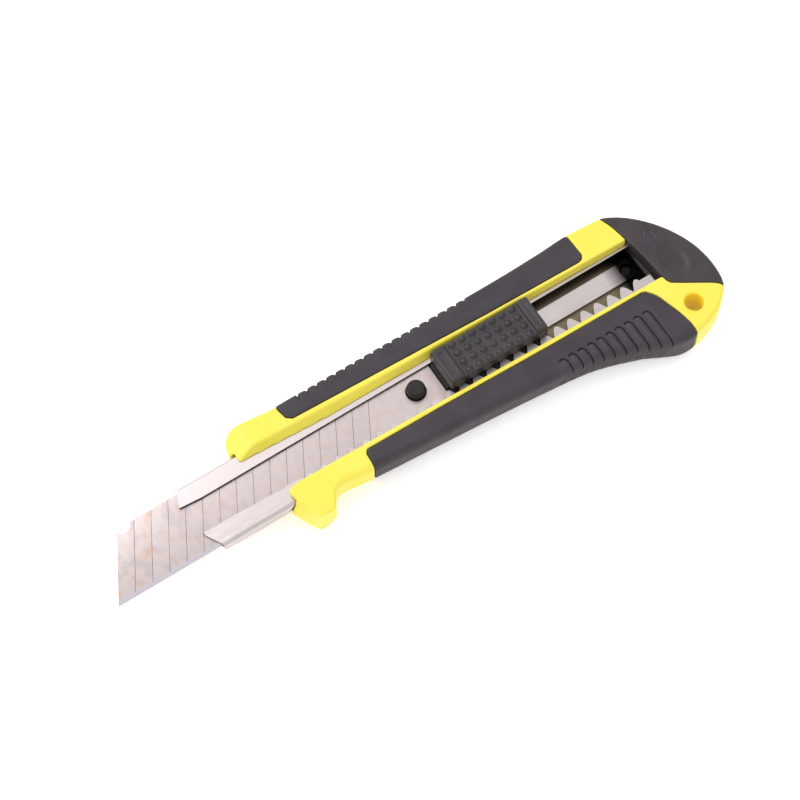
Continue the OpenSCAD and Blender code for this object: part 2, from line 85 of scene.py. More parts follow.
# %% A block of sample points
class Block:
    """Sample points between two corners, one every step, in millimetres."""

    def __init__(self, low, high, step):
        self.step = step
        self.axes = [np.arange(a - 2 * step, b + 3 * step, step, dtype=np.float32)
                     for a, b in zip(low, high)]
        self.x = self.axes[0][:, None, None]
        self.y = self.axes[1][None, :, None]
        self.z = self.axes[2][None, None, :]


def outline_distance(block, points):
    """Distance in plan to a closed outline, negative inside it."""
    x, y = block.x, block.y
    best = np.full((x.size, y.size, 1), np.inf, np.float32)
    inside = np.zeros(best.shape, bool)
    for a, b in zip(points, points[1:] + points[:1]):
        ex, ey = b[0] - a[0], b[1] - a[1]
        t = np.clip(((x - a[0]) * ex + (y - a[1]) * ey) / (ex * ex + ey * ey + 1e-12), 0, 1)
        best = np.minimum(best, (x - a[0] - ex * t) ** 2 + (y - a[1] - ey * t) ** 2)
        if ey:
            inside ^= ((a[1] <= y) != (b[1] <= y)) & (x < a[0] + (y - a[1]) * ex / ey)
    return np.where(inside, -np.sqrt(best), np.sqrt(best))


# %% Joining and cutting fields
def both(a, b, soft=0.0):
    """What two fields share, with an edge rounded by about soft."""
    if not soft:
        return np.maximum(a, b)
    h = np.maximum(soft - np.abs(a - b), 0) / soft
    return np.maximum(a, b) + h * h * soft * 0.25


def either(a, b, soft=0.0):
    """Both shapes together, with a fillet of about soft between them."""
    return -both(-a, -b, soft)


def without(a, b, soft=0.0):
    """Shape a with shape b cut out of it."""
    return both(a, -b, soft)


def brick(block, low, high, soft=0.0):
    """A box between two corners with edges rounded by soft."""
    d = [np.maximum(low[i] + soft - axis, axis - high[i] + soft)
         for i, axis in enumerate((block.x, block.y, block.z))]
    outer = np.sqrt(sum(np.maximum(v, 0) ** 2 for v in d))
    return outer + np.minimum(np.maximum(np.maximum(d[0], d[1]), d[2]), 0) - soft


def rounded_layer(block, plan, z0, z1, under, over):
    """An outline given a height, its lower and upper edges rounded by under and over."""
    def rim(radius, depth):
        out = np.sqrt(np.maximum(plan + radius, 0) ** 2 + np.maximum(depth + radius, 0) ** 2)
        return out + np.minimum(np.maximum(plan + radius, depth + radius), 0) - radius
    return np.maximum(rim(over, block.z - z1), rim(under, z0 - block.z))


# %% [markdown]
# The surface is drawn through the field by surface nets: each small cell that the surface
# crosses gets one point, neighbours are joined by quads, and the points are then pulled onto
# the exact surface. This keeps flat faces flat and leaves an even quad mesh.

# %% Turn a field into a mesh
CORNERS = [(i, j, k) for i in (0, 1) for j in (0, 1) for k in (0, 1)]
EDGES = [(a, b) for a in range(8) for b in range(a + 1, 8)
         if sum(p != q for p, q in zip(CORNERS[a], CORNERS[b])) == 1]


def sample(field, at):
    """The field's value at points given in cell units."""
    base = np.clip(np.floor(at).astype(int), 0, np.array(field.shape) - 2)
    f = at - base
    total = 0
    for c in CORNERS:
        weight = np.prod([f[:, n] if c[n] else 1 - f[:, n] for n in range(3)], axis=0)
        total = total + weight * field[tuple(base[:, n] + c[n] for n in range(3))]
    return total


def net(block, field):
    """Points in millimetres and quads of the field's zero surface."""
    shape = tuple(len(a) for a in block.axes)
    field = np.ascontiguousarray(np.broadcast_to(field, shape), np.float32)
    solid = field < 0
    count = sum(solid[i:shape[0] - 1 + i, j:shape[1] - 1 + j, k:shape[2] - 1 + k].astype(np.int8)
                for i, j, k in CORNERS)
    cells = np.argwhere((count > 0) & (count < 8))
    values = np.stack([field[tuple((cells + c).T)] for c in CORNERS], axis=1)
    total, hits = np.zeros((len(cells), 3)), np.zeros(len(cells))
    for a, b in EDGES:
        crossed = (values[:, a] < 0) != (values[:, b] < 0)
        t = values[crossed, a] / (values[crossed, a] - values[crossed, b])
        pa, pb = np.array(CORNERS[a]), np.array(CORNERS[b])
        total[crossed] += pa + t[:, None] * (pb - pa)
        hits[crossed] += 1
    at = cells + total / hits[:, None]
    for _ in range(3):
        slope = np.stack([sample(field, at + 0.5 * e) - sample(field, at - 0.5 * e)
                          for e in np.eye(3)], axis=1)
        push = sample(field, at) / np.maximum((slope ** 2).sum(1), 0.05 * block.step ** 2)
        at = at - np.clip(push[:, None] * slope, -0.3, 0.3) * 0.8
    number = np.full(tuple(n - 1 for n in shape), -1)
    number[tuple(cells.T)] = np.arange(len(cells))
    quads = []
    for axis in range(3):
        u, v = (axis + 1) % 3, (axis + 2) % 3
        low = [slice(None)] * 3
        high = [slice(None)] * 3
        low[axis], high[axis] = slice(0, -1), slice(1, None)
        flip = np.argwhere(solid[tuple(low)] != solid[tuple(high)])
        flip = flip[(flip[:, u] > 0) & (flip[:, v] > 0)]
        ring = []
        for du, dv in ((-1, -1), (0, -1), (0, 0), (-1, 0)):
            step = np.zeros(3, int)
            step[u], step[v] = du, dv
            ring.append(number[tuple((flip + step).T)])
        quad = np.stack(ring, axis=1)
        leaving = solid[tuple(flip.T)]
        quads.append(np.where(leaving[:, None], quad, quad[:, ::-1]))
    start = np.array([a[0] for a in block.axes])
    return start + at * block.step, np.concatenate(quads)


# %% Make a piece from a field
def new_piece(name, points, faces):
    mesh = bpy.data.meshes.new(name)
    mesh.from_pydata(place(points).tolist(), [], [list(f) for f in faces])
    mesh.validate()
    mesh.shade_smooth()
    piece = bpy.data.objects.new(name, mesh)
    bpy.context.collection.objects.link(piece)
    return piece


def lighten(piece, keep):
    """Takes points out of the flat stretches until keep of the mesh is left."""
    thin = piece.modifiers.new("lighten", "DECIMATE")
    thin.ratio = keep
    evaluated = piece.evaluated_get(bpy.context.evaluated_depsgraph_get())
    mesh = bpy.data.meshes.new_from_object(evaluated)
    piece.modifiers.clear()
    piece.data = mesh
    mesh.shade_smooth()


def mark_edges(piece, reach=0.45):
    """Stores how far each point stands out from its smoothed surroundings, for worn edges."""
    mesh = piece.data
    at = np.zeros(len(mesh.vertices) * 3)
    mesh.vertices.foreach_get("co", at)
    at = at.reshape(-1, 3) / MM
    ends = np.zeros(len(mesh.edges) * 2, int)
    mesh.edges.foreach_get("vertices", ends)
    a, b = ends.reshape(-1, 2).T
    number = np.bincount(a, minlength=len(at)) + np.bincount(b, minlength=len(at))
    number = np.maximum(number, 1)[:, None]
    calm = at.copy()
    for _ in range(8):
        total = np.zeros_like(calm)
        np.add.at(total, a, calm[b])
        np.add.at(total, b, calm[a])
        calm = 0.5 * calm + 0.5 * total / number
    normals = np.zeros(len(at) * 3)
    mesh.vertices.foreach_get("normal", normals)
    out = ((at - calm) * normals.reshape(-1, 3)).sum(1)
    edge = mesh.attributes.new("edge", "FLOAT", "POINT")
    edge.data.foreach_set("value", np.clip(out / (reach * 0.35), 0, 1))


def mould(name, body, block, field, keep=0.5):
    """A moulded piece that stands for the CAD node of the same name."""
    points, quads = net(block, field)
    piece = new_piece(name + "_moulded", points, quads)
    lighten(piece, keep)
    mark_edges(piece)
    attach(piece, body)
    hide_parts(name)
    print(f"{name}: {len(quads)} quads, kept {len(piece.data.polygons)} faces")
    return piece


# %% [markdown]
# The handle's outline is a handful of points with a smooth curve through its long sides and a
# round sweep for the end cap. The guard at the front keeps its corners. Distances along the
# handle count from the channel's mouth at the front and from its back end at the rear.

# %% Curves for the outlines
def smooth(points, n=8):
    """A smooth curve through the points, with n steps between neighbours."""
    p = [np.array(q, float) for q in points]
    p = [p[0]] + p + [p[-1]]
    out = []
    for a, b, c, d in zip(p, p[1:], p[2:], p[3:]):
        for t in np.arange(n) / n:
            out.append(0.5 * (2 * b + (c - a) * t + (2 * a - 5 * b + 4 * c - d) * t * t
                              + (3 * b - a - 3 * c + d) * t ** 3))
    return [tuple(q) for q in out] + [tuple(p[-1])]


def bend(a, b, c, d, n=24):
    """A round sweep from a to d that leaves towards b and arrives from c."""
    a, b, c, d = (np.array(q, float) for q in (a, b, c, d))
    return [tuple((1 - t) ** 3 * a + 3 * (1 - t) ** 2 * t * b + 3 * (1 - t) * t * t * c + t ** 3 * d)
            for t in np.arange(n + 1) / n]


# %% The handle's outline
F = MOUTH
R = REAR
S = BLADE_W
GUARD = [(F + 24.9, 1.7), (F + 25.6, -1), (F + 27.9, -8.1), (F + 32.4, -8.3), (F + 34.4, -5)]
BELLY = smooth([(F + 35.6, -4), (F + 38.7, -3.6), (F + 46, -4.5), (F + 75.7, -6.7),
                (R - 40.3, -8.4), (R - 26.3, -10.1), (R - 15.3, -13.5), (R - 9.7, -15.8),
                (R - 4.7, -17.6), (R - 1.5, -18), (R + 1.5, -17.7), (R + 5.8, -16.6),
                (R + 10.4, -14.4), (R + 14.2, -11)])
CAP_EDGE = bend((R + 14.2, -11), (R + 15.4, -9.6), (R + 16, -7), (R + 16.1, -4), 10)[1:-1] + \
    bend((R + 16.1, -4), (R + 16.9, 8), (R + 7, S + 3), (R - 1.4, S + 5.7))
SPINE = smooth([(R - 1.4, S + 5.7), (R - 12, S + 6.3), (R - 22, S + 5.8), (R - 42, S + 5.5),
                (F + 40, S + 6), (F + 33, S + 5.9), (F + 22.6, S + 6.75)])[1:]
NOSE = bend((F + 20.6, S + 6.4), (F + 18.6, S + 5.4), (F + 17.9, S + 3.6), (F + 17.9, S + 1.2), 8)
HANDLE = GUARD + BELLY + CAP_EDGE + SPINE + NOSE + [(F + 17.9, S - 0.2)]
SEAM = smooth([(R - 2.4, S + 9), (R - 1.4, S + 5.2), (R - 0.1, S + 1.4), (R + 1.1, S / 2 + 3.2),
               (R + 1.9, 5.6), (R + 2.4, 1.1), (R + 3.1, -1.7), (R + 4.7, -3.05),
               (R + 8, -5.2), (R + 12.4, -8.05), (R + 14.1, -9.6), (R + 15.6, -11.5)], 6)
CAP = SEAM + [(R + 40, -11.5), (R + 40, S + 9)]
print(f"handle outline: {len(HANDLE)} points, {REAR + 16.1 - MOUTH:.0f} mm long")

# %% Outlines of the opening between the rails
RAIL_FACE = [(F + 24, S - 0.4), (F + 34, S - 0.7), (F + 74, S - 2.2), (R + 4, S - 3.6)]
RAIL_FOOT = [(F + 10, S - 1.6), (F + 20, S - 1.9), (F + 44, S - 3.2), (R + 4, S - 3.9)]
BELLY_RAIL = smooth([(F + 24.9, 1.65), (F + 27, 2.9), (F + 39, 2.85), (F + 94, 1.5), (R + 4, 0.5)], 4)
SLOT_FACE = [(F - 5, 1.65)] + BELLY_RAIL + RAIL_FACE[::-1] + [(F - 5, S - 0.4)]
SLOT_FOOT = [(F - 5, 1.65)] + BELLY_RAIL + RAIL_FOOT[::-1] + [(F - 5, S - 1.6)]

# %% Outlines of the four grips
SPINE_FACE = [(F + 34.3, S + 9), (F + 34.3, S + 4.4), (F + 34.9, S + 1.6), (F + 36.3, S + 0.55),
              (F + 74, S - 0.9), (F + 94, S - 1.7), (R - 13.4, S - 2.3), (R - 12.2, S - 1.9),
              (R - 11.5, S - 0.8), (R - 11.8, S + 9)]
BELLY_FACE = [(R + 0.8, -30), (F + 44.2, -30), (F + 44.2, -6.75), (F + 45.5, -6), (F + 46.5, -4),
              (F + 46.75, 0.2), (F + 47.6, 1.1), (F + 69, 0.8), (F + 84, 0.44), (F + 104, -0.1),
              (R - 5, -0.45)] + smooth([(R - 3.9, -0.7), (R - 2, -3.3), (R - 0.9, -6.7),
                                        (R + 0.2, -10.6), (R + 0.9, -14.4)], 4)
SPINE_BACK = [(F + 34.3, S + 9), (F + 34.3, S + 0.5), (F + 37.3, S - 1.5), (R - 14.8, S - 1.5),
              (R - 11.8, S + 0.5), (R - 11.8, S + 9)]
BELLY_BACK = [(R + 0.8, -30), (F + 46.4, -30), (F + 46.4, -1), (F + 49, 1.5), (R - 17, 1.5),
              (R - 14, -1), (R - 12.5, -9.5), (R - 9.5, -13.2), (R + 0.8, -14.4)]

# %% [markdown]
# The whole handle is one rounded solid. The face has a small round edge, sharp at the guard and
# the nose and softer along the belly, while the back has a round as large as half the handle's
# thickness. Every moulded part of the handle is then a piece of this one solid, so their
# surfaces meet without a step.

# %% The handle as one rounded solid
BACK_ROUND = 5.5
LIP_TOP = 0.8
GRIP_T = 1.2
GAP = 0.06
POCKET_SIDE = 1.15
POCKET_FLOOR = -3.35


def ease(v, a, b):
    t = np.clip((v - a) / (b - a), 0, 1)
    return t * t * (3 - 2 * t)


def guard_front(block, near):
    """The guard's front leans out towards the back, then rounds in again."""
    x, y, z = block.x[:near], block.y, block.z
    lean = 2.3 * np.clip((FACE - z) / (FACE + 2), 0, 1)
    side = (y + 1.0) / -7.1
    front = F + 25.6 + 2.3 * side - lean * (1 - side ** 2) - x
    under = (-4.6 - z) * 0.8 + (F + 25 - x) * 0.6
    body = both(both(both(front * 0.9, under, 1.5), x - F - 30), both(y + 1.0, -7.9 - y, 0.3))
    return both(both(body, z - FACE + 0.5, 0.5), BACK + 1.5 - z)


def handle_solid(block):
    plan = outline_distance(block, HANDLE)
    along = block.x
    belly_side = 1 - ease(block.y, 0, 6)
    soft_belly = ease(along, F + 31, F + 40) * (1 - 0.55 * ease(along, R - 8, R + 8))
    over = 0.45 + belly_side * soft_belly * 1.9 + (1 - belly_side) * ease(along, F + 24, F + 34) * 0.7
    under = BACK_ROUND - 2.5 * ease(along, R - 14, R - 2)
    solid = rounded_layer(block, plan, BACK, FACE, under, over)
    nose = (block.z - FACE) * 0.9 + (F + 23.2 - block.x) * 0.44
    solid = both(solid, np.where(block.y > S - 3, nose, -9.0), 0.3)
    near = np.searchsorted(block.axes[0], F + 31)
    if near:
        solid[:near] = either(solid[:near], guard_front(block, near), 0.8)
    return solid


def channel_space(block):
    """The pocket of the channel and the opening between the rails."""
    pocket = brick(block, (F - 5, -POCKET_SIDE, POCKET_FLOOR),
                   (R + 4, S + POCKET_SIDE, LIP_TOP + 0.15))
    t = np.clip((block.z - LIP_TOP) / (FACE - LIP_TOP), 0, 1)
    walls = outline_distance(block, SLOT_FOOT) * (1 - t) + outline_distance(block, SLOT_FACE) * t
    return either(pocket, both(walls, LIP_TOP + 0.1 - block.z))


def hole(block, x, y, radius):
    return np.sqrt((block.x - x) ** 2 + (block.y - y) ** 2) - radius


def countersunk(block, x, y, radius, rim):
    """A round hole with its edges broken at the face and at the back."""
    widen = np.maximum(block.z - (FACE - rim), 0) + np.maximum(BACK + rim - block.z, 0)
    return (hole(block, x, y, radius) - widen) * 0.8


def grip_pocket(block, solid, plan, gap):
    return both(plan - gap, -(solid + GRIP_T + gap))


# %% [markdown]
# The front shell is what is left of the solid above the parting plane once the cap, the channel
# and the grips have their room. Only thin rails would stay on either side of the opening, so a
# strap under the channel ties them together near the rear.

# %% The hang hole, and the strap under the channel
HANG = (R + 5.1, -10.1)
HANG_R = 2.5
HANG_RIM = 0.35


def strap(gap):
    """Corners of the strap that joins the front shell's two sides under the channel."""
    x0, x1, y0, y1 = R - 12.6 - gap, R - 10.2 + gap, -2.55 - gap, S + 2.55 + gap
    low, top = -4.95 - gap, PARTING + 0.5
    return [((x0, y0, low), (x1, y1, POCKET_FLOOR)), ((x0, y0, low), (x1, -POCKET_SIDE, top)),
            ((x0, S + POCKET_SIDE, low), (x1, y1, top))]


# %% Front shell
block = Block((F + 17, -19, -5), (R + 18, S + 8, FACE), 0.25)
solid = handle_solid(block)
shell = without(solid, outline_distance(block, CAP) - GAP, 0.5)
shell = without(shell, channel_space(block), 0.5)
for outline in (SPINE_FACE, BELLY_FACE):
    shell = without(shell, grip_pocket(block, solid, outline_distance(block, outline), GAP), 0.35)
shell = without(shell, countersunk(block, *HANG, HANG_R, HANG_RIM), 0.2)
shell = both(shell, PARTING - block.z)
for low, high in strap(0):
    shell = either(shell, brick(block, low, high))
front_shell = mould("front_shell", "handle", block, shell, 0.6)

# %% [markdown]
# The back shell closes the handle from behind. Four screws hold it, each in a boss that stands in
# the rounded edge so that its head sits flush. Two rivets of the channel have their heads in the
# back, and behind the end wall runs the T rail that the end cap slides on.

# %% Places of the screws and rivets, and the end wall
SCREWS = [(F + 27, S + 3), (R - 7, S + 2.9), (F + 30.6, -4.4), (R - 6, -10.5)]
BOSS_R = 3.0
BOSS_H = 5
SCREW_ROOM_R = 2.1
SCREW_ROOM_H = 1.85
CHANNEL_RIVETS_X = (F + 27, R - 2.5)
RIVET_ROOM_R = 1.95
RIVET_ROOM_H = 0.85
END_WALL = [(R + 0.15, -2.15), (R + 2, S + POCKET_SIDE)]

# %% Back shell with the end wall and its T rail
block = Block((F + 17, -19, BACK), (R + 18, S + 8, PARTING), 0.3)
solid = handle_solid(block)
shell = without(solid, outline_distance(block, CAP) - GAP, 0.5)
wall = both(solid, brick(block, (*END_WALL[0], BACK - 1), (*END_WALL[1], POCKET_FLOOR)))
shell = either(shell, wall)
plan = outline_distance(block, HANDLE)
for x, y in SCREWS:
    boss = both(hole(block, x, y, BOSS_R), plan + 0.3, 0.3)
    boss = both(both(boss, BACK - block.z, 0.4), block.z - BACK - BOSS_H)
    shell = either(shell, boss, 0.3)
for low, high in (((R + 1, 0, BACK + 2), (R + 4, S - 0.6, BACK + 3.6)),
                  ((R + 4, 0, BACK + 1.1), (R + 5.5, S - 0.6, BACK + 4.5))):
    shell = either(shell, brick(block, low, high, 0.2))
shell = without(shell, channel_space(block), 0.3)
for outline in (SPINE_BACK, BELLY_BACK):
    shell = without(shell, grip_pocket(block, solid, outline_distance(block, outline), GAP), 0.35)
for x, y in SCREWS:
    room = both(hole(block, x, y, SCREW_ROOM_R), block.z - BACK - SCREW_ROOM_H)
    shell = without(shell, room, 0.3)
shell = without(shell, countersunk(block, *HANG, HANG_R, HANG_RIM), 0.2)
for low, high in strap(0.15):
    shell = without(shell, brick(block, low, high))
for x in CHANNEL_RIVETS_X:
    room = both(hole(block, x, S / 2, RIVET_ROOM_R), block.z - BACK - RIVET_ROOM_H)
    shell = without(shell, room, 0.2)
back_shell = mould("back_shell", "handle", block, both(shell, block.z - PARTING), 0.5)

# %% [markdown]
# The grips are soft skins set into the shells. Each is the same rounded solid, kept only a
# little way in from its surface and inside its own outline, with its border rounded so that a
# fine dark line runs round it. The spine's edge has a row of small lumps for the fingertips, with
# a short mark in the skin between each two.

# %% Grip skins
def grip_skin(block, outline, soft=0.5):
    """The skin of a grip, and the handle's solid it is cut from."""
    solid = handle_solid(block)
    plan = outline_distance(block, outline)
    skin = both(both(solid, plan + GAP, soft), -(solid + GRIP_T))
    return skin, solid


block = Block((F + 33, S - 3.5, PARTING), (R - 10, S + 8, FACE), 0.18)
skin, solid = grip_skin(block, SPINE_FACE)
LUMP_FIRST = F + 40.5
LUMP_PITCH = 2.82
LUMPS = 18
lumps = hole(block, LUMP_FIRST - 4, S + 3, 3)
for i in range(LUMPS):
    x = LUMP_FIRST + (i + 0.5) * LUMP_PITCH
    lumps = either(lumps, hole(block, x, S + 4.43 - 0.026 * i, 1.6))
beyond_row = both(LUMP_FIRST - block.x, block.x - LUMP_FIRST - LUMPS * LUMP_PITCH)
past = both(S + 4.9 - block.y, beyond_row)
skin = without(skin, both(past, -lumps), 0.3)
for i in range(LUMPS + 1):
    x = LUMP_FIRST + i * LUMP_PITCH
    mark = np.sqrt((block.x - x - 0.25) ** 2 + ((block.y - S - 4.9) / 2.6) ** 2) - 0.26
    skin = without(skin, both(mark, -(solid + 0.45)), 0.3)
spine_grip_front = mould("spine_grip_front", "handle", block, both(skin, PARTING - block.z), 0.5)

# %% [markdown]
# The belly grip has ten ribs that stop the hand from sliding. Each is a flat swelling with a fine
# groove along one side that hooks over its upper end, and the ribs sweep back as they go down.
# A rib only touches a narrow stretch of the block, so just that slice of the field is worked on.

# %% Belly grip with its row of hooked ribs
RIBS = 10
RIB_FIRST = R - 33.1
RIB_PITCH = 2.87
block = Block((F + 43, -19, PARTING), (R + 2, 2.5, FACE), 0.18)
skin, solid = grip_skin(block, BELLY_FACE)


def line_distance(x, y, points):
    """Distance in plan to an open line."""
    best = np.inf
    for a, b in zip(points, points[1:]):
        ex, ey = b[0] - a[0], b[1] - a[1]
        t = np.clip(((x - a[0]) * ex + (y - a[1]) * ey) / (ex * ex + ey * ey), 0, 1)
        best = np.minimum(best, (x - a[0] - ex * t) ** 2 + (y - a[1] - ey * t) ** 2)
    return np.sqrt(best)


SWEEP = 0.7
skin = np.array(np.broadcast_to(skin, solid.shape))
down = np.maximum(FACE - 1.3 - block.z, 0)
for i in range(RIBS):
    x = RIB_FIRST + i * RIB_PITCH
    near = slice(*np.searchsorted(block.axes[0], (x - 4.5, x + 3)))
    across = block.x[near] + SWEEP * down ** 2 / (down + 0.5)
    crown, foot = -5.0 - 0.05 * i, -24
    bar = line_distance(across, block.y, [(x + 0.05, crown - 1.1), (x + 0.05, foot)]) - 0.85
    edge = smooth([(x - 0.75, crown - 0.25), (x - 0.1, crown), (x + 0.5, crown - 0.3),
                   (x + 0.95, crown - 1.1), (x + 1.05, crown - 2)], 3) + [(x + 1.05, foot)]
    swell = both(bar, solid[near] - 0.4, 1.2)
    local = either(skin[near], both(swell, FACE - 5 - block.z), 0.3)
    groove = line_distance(across, block.y, edge) - 0.17
    skin[near] = without(local, both(groove, -(solid[near] + 0.6)), 0.22)
belly_grip_front = mould("belly_grip_front", "handle", block, both(skin, PARTING - block.z), 0.5)

# %% Grips on the back
back_grips = []
for name, outline in (("spine_grip_back", SPINE_BACK), ("belly_grip_back", BELLY_BACK)):
    xs, ys = zip(*outline)
    block = Block((min(xs) - 0.5, max(min(ys), -18) - 0.5, BACK),
                  (max(xs) + 0.5, min(max(ys), S + 6.4) + 0.5, PARTING), 0.25)
    skin, _ = grip_skin(block, outline)
    back_grips.append(mould(name, "handle", block, both(skin, block.z - PARTING), 0.4))

# %% [markdown]
# The end cap closes the rear. It slides off towards the spine, which the arrow on it shows, and
# a shallow oval takes the thumb that pushes it. Inside it has room for the channel's end, the
# end wall and the T rail, each with a little play.

# %% End cap
block = Block((R - 3, -12, BACK), (R + 17, S + 7, FACE), 0.2)
solid = handle_solid(block)
cap = both(solid, outline_distance(block, CAP) + GAP, 0.5)
cap = either(cap, brick(block, (R + 1, -1, POCKET_FLOOR + 0.15), (R + 3, S + 1, -1.7), 0.15))
cap = without(cap, brick(block, (R - 5, -POCKET_SIDE, POCKET_FLOOR),
                         (R + 1.15, S + POCKET_SIDE, 0.95)))
cap = without(cap, brick(block, (END_WALL[0][0] - 0.15, -30, BACK - 1),
                         (END_WALL[1][0] + 0.15, END_WALL[1][1] + 0.15, POCKET_FLOOR + 0.15)))
for low, high in (((R + 1, -30, BACK + 1.85), (R + 4.15, S + 0.15, BACK + 3.75)),
                  ((R + 3.85, -30, BACK + 0.95), (R + 5.65, S + 0.15, BACK + 4.65))):
    cap = without(cap, brick(block, low, high))
oval = np.sqrt(((block.x - R - 7.9) / 3.5) ** 2 + ((block.y - 3.3) / 5.7) ** 2)
thumb_rest = block.z - (FACE - 0.7 + 0.7 * np.minimum(oval, 2) ** 5)
cap = both(cap, thumb_rest * 0.75, 0.15)
ARROW = [(-0.85, -2.05), (0.85, -2.05), (0.85, 0.3), (1.6, 0.3), (0, 2.05), (-1.6, 0.3), (-0.85, 0.3)]
arrow_edge = outline_distance(block, [(R + 7 + x, S / 2 + 3.2 + y) for x, y in ARROW])
arrow = both(both(np.abs(arrow_edge) - 0.17, block.z - FACE - 0.2), FACE - 0.5 - block.z)
cap = either(cap, arrow, 0.1)
end_cap = mould("end_cap", "cap", block, cap, 0.6)

# %% [markdown]
# The slider is three moulded pieces. The carrier slides under the blade and its peg goes through
# the blade's hole, the base fills the channel behind the blade, and the thumb pad sits on top
# with a rib at each end and a field of round bumps between them.

# %% Thumb pad
def corners(node):
    """A CAD node's two corners in millimetres."""
    return [(v - corner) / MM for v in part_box(node)]


pad_low, pad_high = corners("thumb_pad")
BUMP_R = 1.0
BUMP_COLUMNS, BUMP_ROWS = 7, 4
BUMP_STEP_X, BUMP_STEP_Y = 3.1, 2.78
FRONT_RIB, BACK_RIB = 3.8, 3.2
PAD_FLOOR = pad_high.z - 0.9
block = Block(pad_low, pad_high, 0.13)
pad = brick(block, pad_low, (pad_high.x, pad_high.y, PAD_FLOOR), 0.3)
front_rib = brick(block, pad_low, (pad_low.x + FRONT_RIB, pad_high.y, pad_high.z), 0.55)
front_rib = without(front_rib, brick(block, (pad_low.x + 1.15, pad_low.y + 1.6, pad_high.z - 0.22),
                                     (pad_low.x + 2.85, pad_high.y - 1.6, pad_high.z + 2), 0.2), 0.2)
back_rib = brick(block, (pad_high.x - BACK_RIB, pad_low.y, pad_low.z), pad_high, 0.55)
back_rib = without(back_rib, brick(block, (pad_high.x - 2.05, pad_low.y + 1.6, pad_high.z - 0.14),
                                   (pad_high.x - 1.15, pad_high.y - 1.6, pad_high.z + 2), 0.2), 0.2)
pad = either(either(pad, front_rib, 0.5), back_rib, 0.5)
bump_x = pad_low.x + FRONT_RIB + (pad_high.x - pad_low.x - FRONT_RIB - BACK_RIB) / 2
for column in range(BUMP_COLUMNS):
    for row in range(BUMP_ROWS):
        x = bump_x + (column - (BUMP_COLUMNS - 1) / 2) * BUMP_STEP_X
        y = (pad_low.y + pad_high.y) / 2 + (row - (BUMP_ROWS - 1) / 2) * BUMP_STEP_Y
        ball = np.sqrt((block.x - x) ** 2 + (block.y - y) ** 2 + (block.z - PAD_FLOOR + 0.2) ** 2)
        pad = either(pad, ball - BUMP_R, 0.3)
thumb_pad = mould("thumb_pad", "slider", block, pad, 0.6)

# %% Slider base
base_low, base_high = corners("slider_base")
pawl_low, pawl_high = corners("lock_pawl")
MID_Y = (pad_low.y + pad_high.y) / 2
PAD_RIVETS_X = (pad_low.x + 5, pad_high.x - 5)
PAD_RIVET_R = 1.2
NECK = (4.9, S - 4.9)
block = Block(base_low, base_high, 0.15)
base = brick(block, (base_low.x, base_low.y, -0.5), (base_high.x, base_high.y, 0.1), 0.1)
for y in (base_low.y, base_high.y - 1.7):
    base = either(base, brick(block, (base_low.x + 2, y, base_low.z),
                              (base_high.x - 2, y + 1.7, 0.1), 0.15))
neck = brick(block, (base_low.x, NECK[0], 0), (base_high.x, NECK[1], base_high.z), 0.25)
base = either(base, neck, 0.2)
base = without(base, brick(block, (pawl_low.x - 0.2, NECK[0] - 1, 0.1),
                           (pawl_high.x + 0.2, pawl_high.y + 3.8, 5)), 0.1)
for x in PAD_RIVETS_X:
    base = without(base, hole(block, x, MID_Y, PAD_RIVET_R), 0.15)
slider_base = mould("slider_base", "slider", block, base, 0.5)

# %% Blade carrier with its peg
carrier_low, carrier_high = corners("blade_carrier")
PEG_X = BLADE_LEN - 6.6
PEG_R = 2.45
block = Block(carrier_low, carrier_high, 0.15)
plate = brick(block, carrier_low, (carrier_high.x, carrier_high.y, -0.5), 0.2)
for x in PAD_RIVETS_X:
    plate = without(plate, hole(block, x, MID_Y, PAD_RIVET_R), 0.15)
peg_side = hole(block, PEG_X, S / 2, PEG_R)
peg_top = block.z - carrier_high.z
peg = both(both(both(peg_side, peg_top), -1 - block.z), (peg_side + peg_top + 0.4) * 0.7, 0.15)
centre = np.sqrt((block.x - PEG_X) ** 2 + (block.y - S / 2) ** 2)
peg = without(peg, both(np.abs(centre - 1.6) - 0.06, carrier_high.z - 0.08 - block.z), 0.1)
blade_carrier = mould("blade_carrier", "slider", block, either(plate, peg), 0.5)

# %% [markdown]
# The lock pawl is a small wedge inside the slider. A leaf spring pushes its nose between two teeth
# of the channel, and the slider stays where it is until the thumb lifts the pawl out again.

# %% Lock pawl
PAWL = [(-0.4, 0), (0.4, 0), (0.88, 2.1), (2, 2.6), (2, 4.88), (-2, 4.88), (-2, 2.6), (-0.88, 2.1)]
block = Block(pawl_low, pawl_high, 0.08)
pawl = outline_distance(block, [(pawl_low.x + 2 + x, pawl_low.y + y) for x, y in PAWL])
pawl = both(both(pawl, block.z - pawl_high.z, 0.15), pawl_low.z - block.z, 0.15)
lock_pawl = mould("lock_pawl", "pawl", block, pawl, 0.5)

# %% [markdown]
# The steel pieces keep their exact shape. Their flat faces are cleaned of the triangles that an
# export leaves, and every edge gets a bevel of a few hundredths of a millimetre, because a
# perfectly sharp edge never catches the light.

